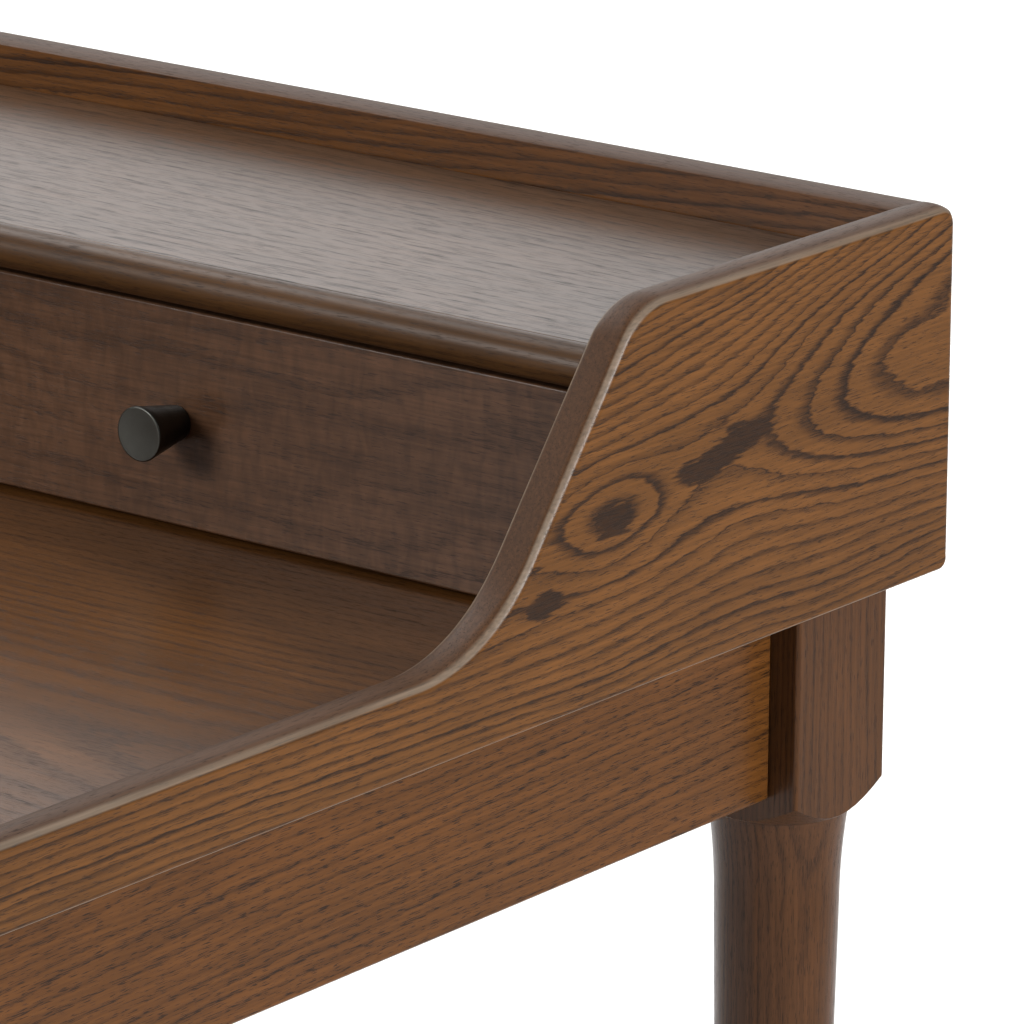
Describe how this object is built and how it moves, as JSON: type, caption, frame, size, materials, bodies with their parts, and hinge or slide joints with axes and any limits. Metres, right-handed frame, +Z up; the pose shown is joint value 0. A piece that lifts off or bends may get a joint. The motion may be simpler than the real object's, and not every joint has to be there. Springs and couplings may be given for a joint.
{
  "type": "writing desk",
  "caption": "Writing desk with turned tapered legs, swooping side panels, and a raised row of small drawers under a galleried shelf along the back.",
  "frame": {"origin": "on the floor under the middle of the desk", "axes": "+X along the desk to the sitter's right, +Y to the back, +Z up"},
  "size_m": [1.4, 0.705, 0.9035],
  "materials": {
    "stained_oak": "dark brown stained oak under a satin lacquer",
    "drawer_wood": "pale sanded hardwood, clear sealed",
    "hardwood_block": "plain sanded hardwood, unfinished",
    "blackened_metal": "satin black",
    "zinc_steel": "bright zinc plate",
    "black_nylon": "matte black nylon"
  },
  "bodies": {
    "desk": {"desk_top": "stained_oak", "desk_top_front_edge": "stained_oak", "side_panel_left": "stained_oak", "side_panel_right": "stained_oak", "shelf_board": "stained_oak", "shelf_front_edge": "stained_oak", "back_board": "stained_oak", "divider_left": "stained_oak", "divider_right": "stained_oak", "apron_front": "stained_oak", "apron_rear": "stained_oak", "apron_left": "stained_oak", "apron_right": "stained_oak", "leg_front_left": "stained_oak", "leg_front_right": "stained_oak", "leg_rear_left": "stained_oak", "leg_rear_right": "stained_oak", "centre_brace": "hardwood_block", "corner_block_front_left": "hardwood_block", "corner_block_front_right": "hardwood_block", "corner_block_rear_left": "hardwood_block", "corner_block_rear_right": "hardwood_block", "drawer_stop_left": "hardwood_block", "drawer_stop_centre": "hardwood_block", "drawer_stop_right": "hardwood_block", "hanger_bolt_front_left": "zinc_steel", "hanger_bolt_front_right": "zinc_steel", "hanger_bolt_rear_left": "zinc_steel", "hanger_bolt_rear_right": "zinc_steel", "hanger_nut_front_left": "zinc_steel", "hanger_nut_front_right": "zinc_steel", "hanger_nut_rear_left": "zinc_steel", "hanger_nut_rear_right": "zinc_steel", "leg_glide_front_left": "black_nylon", "leg_glide_front_right": "black_nylon", "leg_glide_rear_left": "black_nylon", "leg_glide_rear_right": "black_nylon"},
    "drawer_left": {"drawer_left_front": "stained_oak", "drawer_left_side_left": "drawer_wood", "drawer_left_side_right": "drawer_wood", "drawer_left_back": "drawer_wood", "drawer_left_bottom": "drawer_wood", "drawer_left_knob": "blackened_metal", "drawer_left_knob_screw": "zinc_steel"},
    "drawer_centre": {"drawer_centre_front": "stained_oak", "drawer_centre_side_left": "drawer_wood", "drawer_centre_side_right": "drawer_wood", "drawer_centre_back": "drawer_wood", "drawer_centre_bottom": "drawer_wood", "drawer_centre_knob": "blackened_metal", "drawer_centre_knob_screw": "zinc_steel"},
    "drawer_right": {"drawer_right_front": "stained_oak", "drawer_right_side_left": "drawer_wood", "drawer_right_side_right": "drawer_wood", "drawer_right_back": "drawer_wood", "drawer_right_bottom": "drawer_wood", "drawer_right_knob": "blackened_metal", "drawer_right_knob_screw": "zinc_steel"}
  },
  "joints": [
    {"name": "drawer_left_slide", "type": "slide", "parent": "desk", "child": "drawer_left", "axis": [0, -1, 0], "range_m": [0, 0.13]},
    {"name": "drawer_centre_slide", "type": "slide", "parent": "desk", "child": "drawer_centre", "axis": [0, -1, 0], "range_m": [0, 0.13]},
    {"name": "drawer_right_slide", "type": "slide", "parent": "desk", "child": "drawer_right", "axis": [0, -1, 0], "range_m": [0, 0.13]}
  ]
}
